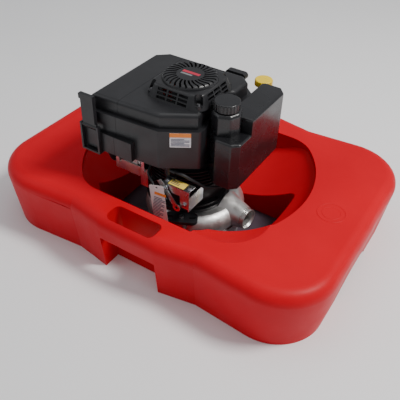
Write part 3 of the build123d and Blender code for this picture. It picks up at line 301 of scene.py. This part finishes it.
def plain_steel(colours):
    """Machined steel with short brushed streaks."""
    finish = mottled("plain_steel", colours.steel, 0.34, metallic=1.0, patch=60.0, contrast=0.12)
    streaks = finish.noise(1.0, 3.0, finish.stretched((90.0, 90.0, 1400.0)))
    finish.gloss(streaks, 0.24, 0.46)
    finish.bump(streaks, 0.00006, 0.5)
    return finish.material


def iron(colours):
    """Dark cast iron with a rusty bloom."""
    finish = Finish("iron", 0.6, metallic=0.7)
    finish.colour(finish.ramp(finish.noise(60.0, 5.0), [
        (0.35, (0.05, 0.05, 0.052)),
        (0.60, (0.10, 0.095, 0.09)),
        (0.78, (0.16, 0.10, 0.06)),
    ]))
    finish.bump(finish.noise(500.0, 4.0), 0.0004, 0.5)
    return finish.material


def black_paint(colours):
    """Stoved black paint on steel and castings, with a little texture."""
    finish = mottled("black_paint", shade(colours.cover_black, 1.3), 0.38, metallic=0.1, patch=35.0,
                     contrast=0.25, coat=0.15)
    finish.gloss(finish.noise(50.0, 5.0), 0.30, 0.50)
    finish.bump(finish.noise(650.0, 3.0), 0.00016, 0.5)
    return finish.material


def black_rubber(colours):
    """Hoses, leads and seals."""
    finish = mottled("black_rubber", shade(colours.cover_black, 1.1), 0.55, patch=50.0, contrast=0.2)
    finish.gloss(finish.noise(80.0, 4.0), 0.45, 0.66)
    finish.bump(finish.noise(1100.0, 2.0), 0.00008, 0.5)
    return finish.material


def yellow_plastic(colours):
    """Glossy yellow cap."""
    finish = mottled("yellow_plastic", colours.cap_yellow, 0.28, patch=30.0, contrast=0.06)
    finish.gloss(finish.noise(60.0, 4.0), 0.22, 0.36)
    finish.bump(finish.noise(900.0, 2.0), 0.00006, 0.5)
    return finish.material


def base_plastic(colours):
    """Dark base plate with dust and scuffs; the purple tint of its colour is a painted reflection of the red
    float walls.
    """
    finish = mottled("base_plastic", colours.base_grey, 0.55, patch=12.0, contrast=0.2)
    finish.gloss(finish.noise(30.0, 6.0), 0.42, 0.65)
    finish.bump(finish.noise(500.0, 3.0), 0.0002, 0.5)
    return finish.material


def filter_paper(colours):
    """Pleated filter paper with its fibres."""
    finish = mottled("filter_paper", (0.62, 0.52, 0.33), 0.9, patch=40.0, contrast=0.1)
    finish.bump(finish.noise(1.0, 4.0, finish.stretched((1200.0, 300.0, 300.0))), 0.0002, 0.6)
    return finish.material


def card(colours):
    """Printed card of the hanging tag, slightly yellowed."""
    finish = mottled("card", (0.80, 0.74, 0.72), 0.8, patch=30.0, contrast=0.08)
    finish.bump(finish.noise(900.0, 3.0), 0.00008, 0.5)
    return finish.material


def label_paper(colours):
    """White vinyl of the labels."""
    finish = mottled("label_paper", (0.74, 0.75, 0.78), 0.45, patch=60.0, contrast=0.05)
    finish.bump(finish.noise(800.0, 2.0), 0.00004, 0.5)
    return finish.material


def label_band(colours):
    """Orange printing on the labels."""
    finish = mottled("label_band", colours.label_orange, 0.42, patch=80.0, contrast=0.08)
    finish.bump(finish.noise(800.0, 2.0), 0.00004, 0.5)
    return finish.material


def label_yellow(colours):
    """Yellow printing on the control bracket's label."""
    finish = mottled("label_yellow", (0.88, 0.62, 0.10), 0.42, patch=80.0, contrast=0.08)
    finish.bump(finish.noise(800.0, 2.0), 0.00004, 0.5)
    return finish.material


def label_ink(colours):
    """Dark printing on the labels."""
    finish = mottled("label_ink", (0.05, 0.06, 0.12), 0.5, patch=80.0, contrast=0.15)
    finish.bump(finish.noise(800.0, 2.0), 0.00004, 0.5)
    return finish.material


def badge_enamel(colours):
    """Red enamel of the starter's badge."""
    finish = mottled("badge_enamel", colours.badge_red, 0.2, metallic=0.3, patch=60.0, contrast=0.1,
                     coat=0.6)
    finish.bump(finish.noise(900.0, 2.0), 0.00004, 0.5)
    return finish.material


FINISH_OF_SLOT = {
    "float_plastic": float_plastic,
    "black_plastic": cover_plastic,
    "black_paint": black_paint,
    "cast_aluminium": cast_metal,
    "zinc_plate": plated_steel,
    "steel": plain_steel,
    "cast_iron": iron,
    "rubber": black_rubber,
    "yellow_plastic": yellow_plastic,
    "filter_paper": filter_paper,
    "tag_card": card,
    "base_plastic": base_plastic,
}
FINISH_OF_NODE = {"fuel_tank": tank_plastic, "fuel_cap": tank_plastic}


def made(finish):
    """The material of a finish, built once."""
    found = bpy.data.materials.get(PREFIX + finish.__name__)
    return found or finish(bpy.context.scene.pump_colours)


# ---------------------------------------------------------------- making pieces
def new_piece(name, form, finish, body, smooth=True):
    """Turn a bmesh into a piece that rides on a body."""
    bmesh.ops.recalc_face_normals(form, faces=form.faces)
    mesh = bpy.data.meshes.new(name)
    form.to_mesh(mesh)
    form.free()
    for polygon in mesh.polygons:
        polygon.use_smooth = smooth
    mesh.materials.append(made(finish))
    piece = bpy.data.objects.new(name, mesh)
    bpy.context.scene.collection.objects.link(piece)
    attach(piece, body)
    return piece


def facing(origin, normal, up):
    """A place whose local Z is a face's normal and whose local Y is close to a way up."""
    z = Vector(normal).normalized()
    x = Vector(up).cross(z).normalized()
    y = z.cross(x)
    place = Matrix((x, y, z)).transposed().to_4x4()
    place.translation = Vector(origin)
    return place


def plate_form(width, height, thickness, place):
    """A thin block that stands on a place's XY plane."""
    form = bmesh.new()
    bmesh.ops.create_cube(form, size=1.0)
    bmesh.ops.scale(form, vec=(width, height, thickness), verts=form.verts)
    bmesh.ops.translate(form, vec=(0.0, 0.0, thickness / 2), verts=form.verts)
    bmesh.ops.transform(form, matrix=place, verts=form.verts)
    return form


def disc_form(radius, thickness, place, segments=48):
    """A short round or sided bar that stands on a place's XY plane."""
    form = bmesh.new()
    bmesh.ops.create_cone(form, cap_ends=True, segments=segments, radius1=radius, radius2=radius,
                          depth=thickness)
    bmesh.ops.translate(form, vec=(0.0, 0.0, thickness / 2), verts=form.verts)
    bmesh.ops.transform(form, matrix=place, verts=form.verts)
    return form


def ring_form(radius, section, place, flatness=1.0):
    """A ring of round section about a place's Z axis."""
    form = bmesh.new()
    circle = bmesh.ops.create_circle(form, segments=RING_SIDES, radius=section)["verts"]
    bmesh.ops.rotate(form, verts=circle, cent=(0, 0, 0), matrix=Matrix.Rotation(math.pi / 2, 3, "X"))
    bmesh.ops.scale(form, vec=(1.0, 1.0, flatness), verts=circle)
    bmesh.ops.translate(form, vec=(radius, 0.0, 0.0), verts=circle)
    bmesh.ops.spin(form, geom=form.verts[:] + form.edges[:], cent=(0, 0, 0), axis=(0, 0, 1),
                   angle=2 * math.pi, steps=RING_STEPS, use_merge=True)
    bmesh.ops.transform(form, matrix=place, verts=form.verts)
    return form


def joined(forms):
    """Several forms as one."""
    whole = bmesh.new()
    for form in forms:
        mesh = bpy.data.meshes.new("part")
        form.to_mesh(mesh)
        form.free()
        whole.from_mesh(mesh)
        bpy.data.meshes.remove(mesh)
    return whole


def shifted(place, x, y, z=0.0):
    """A place moved along its own axes."""
    return place @ Matrix.Translation((x, y, z))


def printed(name, place, width, height, lines, finish, body):
    """Rows of short bars that stand for print, spread down an area."""
    film = bpy.context.scene.pump_sizes.film
    pitch = height / lines
    bars = []
    for row in range(lines):
        length = width * (1.0 if row % 3 else 0.72)
        spot = shifted(place, (length - width) / 2, height / 2 - pitch * (row + 0.5))
        bars.append(plate_form(length, pitch * 0.42, film, spot))
    new_piece(name, joined(bars), finish, body, smooth=False)


# ---------------------------------------------------------------- operators
class FIREPUMP_OT_finishes(bpy.types.Operator):
    """Give every carried-over CAD node its finish"""

    bl_idname = "firepump.finishes"
    bl_label = "Finishes"

    def execute(self, context):
        slots = {part["node"]: part["material_slot"] for part in frame["record"]["subparts"]}
        for name, node in frame["nodes"].items():
            finish = FINISH_OF_NODE.get(name) or FINISH_OF_SLOT[slots[name]]
            node.data.materials.clear()
            node.data.materials.append(made(finish))
        return {"FINISHED"}


class FIREPUMP_OT_cover_label(bpy.types.Operator):
    """Warning label on the slanted front face of the blower shroud"""

    bl_idname = "firepump.cover_label"
    bl_label = "Cover label"

    centre_x: length_property("Centre", "Place of the label along the cover", 0.039)
    centre_z: length_property("Height", "Height of the label's middle", 0.314)

    def execute(self, context):
        sizes = context.scene.pump_sizes
        place = on_face("blower_shroud", COVER_FRONT, 0.995, self.centre_x, self.centre_z, UP)
        width, height, film = sizes.label_width, sizes.label_height, sizes.film
        new_piece("cover_label", plate_form(width, height, film, place), label_paper, "pump",
                  smooth=False)
        band = shifted(place, 0.0, height * 0.36, film)
        new_piece("cover_label_band", plate_form(width, height * 0.28, film, band), label_band, "pump",
                  smooth=False)
        rows = shifted(place, 0.0, -height * 0.15, film)
        printed("cover_label_print", rows, width * 0.86, height * 0.56, 6, label_ink, "pump")
        return {"FINISHED"}


class FIREPUMP_OT_bracket_trim(bpy.types.Operator):
    """Yellow label, screws and washers on the control bracket"""

    bl_idname = "firepump.bracket_trim"
    bl_label = "Bracket trim"

    def screw(self, place, washer, head, height):
        """A washer and a hexagon head on it."""
        raised = shifted(place, 0, 0, WASHER_THICKNESS)
        return [disc_form(washer, WASHER_THICKNESS, place), disc_form(head, height, raised, segments=6)]

    def execute(self, context):
        film = context.scene.pump_sizes.film
        low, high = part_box("control_bracket")
        shelf_y = low.y + SHELF_MIDDLE
        top = facing((low.x + 0.034, shelf_y, high.z), UP, BACK)
        new_piece("bracket_label", plate_form(0.040, 0.020, film, top), label_yellow, "pump",
                  smooth=False)
        printed("bracket_label_print", shifted(top, -0.006, 0.0, film), 0.022, 0.014, 3, label_ink, "pump")
        heads = []
        for x in (low.x + 0.006, high.x - 0.006):
            spot = facing((x, shelf_y, high.z), UP, BACK)
            heads += self.screw(spot, 0.0050, 0.0036, 0.0028)
        front = facing((high.x - 0.011, low.y, low.z + 0.016), (0, -1, 0), UP)
        heads += self.screw(front, 0.0060, 0.0042, 0.0032)
        new_piece("bracket_screws", joined(heads), plain_steel, "pump", smooth=False)
        return {"FINISHED"}


class FIREPUMP_OT_badge(bpy.types.Operator):
    """Plain badge of two bars on the starter's round middle"""

    bl_idname = "firepump.badge"
    bl_label = "Badge"

    def execute(self, context):
        sizes = context.scene.pump_sizes
        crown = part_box("starter_housing")[1].z
        middle = centre("starter_housing")
        top = facing((middle.x, middle.y, crown - sizes.film / 2), UP, BACK)
        upper = plate_form(sizes.badge_length, 0.0085, sizes.film, shifted(top, 0.0, 0.004))
        lower = plate_form(sizes.badge_length * 0.66, 0.0055, sizes.film, shifted(top, -0.006, -0.006))
        new_piece("badge_bar", upper, badge_enamel, "pump", smooth=False)
        new_piece("badge_foot", lower, plated_steel, "pump", smooth=False)
        return {"FINISHED"}


class FIREPUMP_OT_float_emblem(bpy.types.Operator):
    """Plain raised ring emblem on the float's right-hand end"""

    bl_idname = "firepump.float_emblem"
    bl_label = "Float emblem"

    def execute(self, context):
        radius = context.scene.pump_sizes.emblem_radius
        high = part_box("float_hull")[1]
        place = facing((high.x - 0.087, -0.006, high.z - 0.0002), UP, BACK)
        rings = [ring_form(radius - 0.002, 0.0016, place, 0.6), ring_form(radius * 0.62, 0.0012, place, 0.6)]
        new_piece("float_emblem", joined(rings), float_plastic, "pump")
        return {"FINISHED"}


class FIREPUMP_OT_outlet_rings(bpy.types.Operator):
    """Turned rings round the machined end of the outlet"""

    bl_idname = "firepump.outlet_rings"
    bl_label = "Outlet rings"

    def execute(self, context):
        pitch = context.scene.pump_sizes.groove_pitch
        axis = Vector(mount("outlet_face")["axis"])
        rings = []
        for index in range(OUTLET_RING_COUNT):
            point = outlet_middle() - axis * (OUTLET_RING_START + pitch * index)
            rings.append(ring_form(OUTLET_RADIUS, OUTLET_RING_SECTION, facing(point, axis, UP)))
        new_piece("outlet_rings", joined(rings), machined_metal, "pump")
        return {"FINISHED"}


class FIREPUMP_OT_tag_print(bpy.types.Operator):
    """Rows of print and a heading band on the hanging tag"""

    bl_idname = "firepump.tag_print"
    bl_label = "Tag print"

    width: length_property("Width", "Width of the tag", 0.034)
    height: length_property("Height", "Height of the tag", 0.100)

    def execute(self, context):
        middle = centre("hang_tag")
        place = on_face("hang_tag", TAG_FRONT, 0.9, middle.x, middle.z, TAG_UP)
        film = context.scene.pump_sizes.film
        width, height = self.width, self.height
        band = shifted(place, 0.0, height * 0.30)
        new_piece("tag_band", plate_form(width * 0.8, height * 0.07, film, band), label_band, "pump",
                  smooth=False)
        rows = shifted(place, 0.0, -height * 0.10)
        printed("tag_print", rows, width * 0.78, height * 0.62, 15, label_ink, "pump")
        return {"FINISHED"}


class FIREPUMP_OT_stage(bpy.types.Operator):
    """Pale floor, soft studio lights and the camera"""

    bl_idname = "firepump.stage"
    bl_label = "Studio"

    aim: bpy.props.FloatVectorProperty(
        name="Aim", description="Point that the camera looks at", subtype="XYZ", unit="LENGTH",
        default=(0.0414, -0.0695, 0.100),
    )
    azimuth: bpy.props.FloatProperty(
        name="Azimuth", description="Turn of the camera about the pump", subtype="ANGLE",
        default=math.radians(31.05),
    )
    elevation: bpy.props.FloatProperty(
        name="Elevation", description="Height of the camera as an angle", subtype="ANGLE",
        default=math.radians(39.67),
    )
    roll: bpy.props.FloatProperty(
        name="Roll", description="Tilt of the camera about its own axis", subtype="ANGLE",
        default=math.radians(2.05),
    )
    lens: bpy.props.FloatProperty(
        name="Lens", description="Focal length on a 36 mm sensor", subtype="DISTANCE_CAMERA",
        default=51.01,
    )

    def light(self, name, place, aim, size, power, colour):
        """A square soft light."""
        data = bpy.data.lights.new(name, "AREA")
        data.shape = "SQUARE"
        data.size = size
        data.energy = power
        data.color = colour
        lamp = bpy.data.objects.new(name, data)
        back = (Vector(place) - Vector(aim)).normalized()
        lamp.matrix_world = Matrix.Translation(place) @ back.to_track_quat("Z", "Y").to_matrix().to_4x4()
        bpy.context.scene.collection.objects.link(lamp)

    def floor(self):
        """A wide pale floor at the float's underside."""
        form = bmesh.new()
        bmesh.ops.create_grid(form, x_segments=1, y_segments=1, size=14.0)
        mesh = bpy.data.meshes.new("floor")
        form.to_mesh(mesh)
        form.free()
        finish = mottled("floor_paint", (0.86, 0.86, 0.87), 0.85, patch=2.0, contrast=0.01)
        mesh.materials.append(finish.material)
        floor = bpy.data.objects.new("floor", mesh)
        bpy.context.scene.collection.objects.link(floor)

    def camera(self, distance):
        """The camera, at the usual three-quarter view."""
        across, along = math.sin(self.azimuth), -math.cos(self.azimuth)
        flat, high = math.cos(self.elevation), math.sin(self.elevation)
        back = Vector((across * flat, along * flat, high))
        level = Vector((math.cos(self.azimuth), math.sin(self.azimuth), 0.0))
        rise = back.cross(level)
        right = math.cos(self.roll) * level + math.sin(self.roll) * rise
        up = math.cos(self.roll) * rise - math.sin(self.roll) * level
        data = bpy.data.cameras.new("camera")
        data.lens = self.lens
        camera = bpy.data.objects.new("camera", data)
        turn = Matrix((right, up, back)).transposed().to_4x4()
        camera.matrix_world = Matrix.Translation(Vector(self.aim) + distance * back) @ turn
        bpy.context.scene.collection.objects.link(camera)
        bpy.context.scene.camera = camera

    def execute(self, context):
        self.floor()
        self.camera(context.scene.pump_sizes.camera_distance)
        aim = (0.0, 0.0, 0.15)
        self.light("key", (1.7, 0.5, 2.7), aim, 0.7, 90.0, (1.0, 0.98, 0.95))
        self.light("fill", (-2.2, -1.4, 1.8), aim, 2.2, 13.0, (0.95, 0.97, 1.0))
        self.light("top", (0.0, 0.3, 3.0), aim, 2.4, 16.0, (1.0, 1.0, 1.0))
        world = bpy.data.worlds.new("studio")
        world.use_nodes = True
        world.node_tree.nodes["Background"].inputs["Color"].default_value = (0.95, 0.97, 1.0, 1.0)
        world.node_tree.nodes["Background"].inputs["Strength"].default_value = 0.36
        context.scene.world = world
        return {"FINISHED"}


PIECES = (
    FIREPUMP_OT_finishes,
    FIREPUMP_OT_cover_label,
    FIREPUMP_OT_bracket_trim,
    FIREPUMP_OT_badge,
    FIREPUMP_OT_float_emblem,
    FIREPUMP_OT_outlet_rings,
    FIREPUMP_OT_tag_print,
    FIREPUMP_OT_stage,
)


class FIREPUMP_PT_pieces(bpy.types.Panel):
    """Sidebar panel that lists the pump's pieces"""

    bl_label = "Fire Pump"
    bl_idname = "FIREPUMP_PT_pieces"
    bl_space_type = "VIEW_3D"
    bl_region_type = "UI"
    bl_category = "Fire Pump"

    def draw(self, context):
        for group in (context.scene.pump_colours, context.scene.pump_sizes):
            for name in group.__annotations__:
                self.layout.prop(group, name)
        for piece in PIECES:
            self.layout.operator(piece.bl_idname)


CLASSES = (PumpColours, PumpSizes, *PIECES, FIREPUMP_PT_pieces)


def register():
    """Make the pump's settings, operators and panel known to Blender."""
    for item in CLASSES:
        bpy.utils.register_class(item)
    bpy.types.Scene.pump_colours = bpy.props.PointerProperty(type=PumpColours)
    bpy.types.Scene.pump_sizes = bpy.props.PointerProperty(type=PumpSizes)


def unregister():
    """Take the settings, operators and panel out again."""
    del bpy.types.Scene.pump_sizes
    del bpy.types.Scene.pump_colours
    for item in reversed(CLASSES):
        bpy.utils.unregister_class(item)


def main():
    """Build everything in order."""
    register()
    for piece in PIECES:
        group, name = piece.bl_idname.split(".")
        getattr(getattr(bpy.ops, group), name)()


if __name__ == "__main__":
    main()
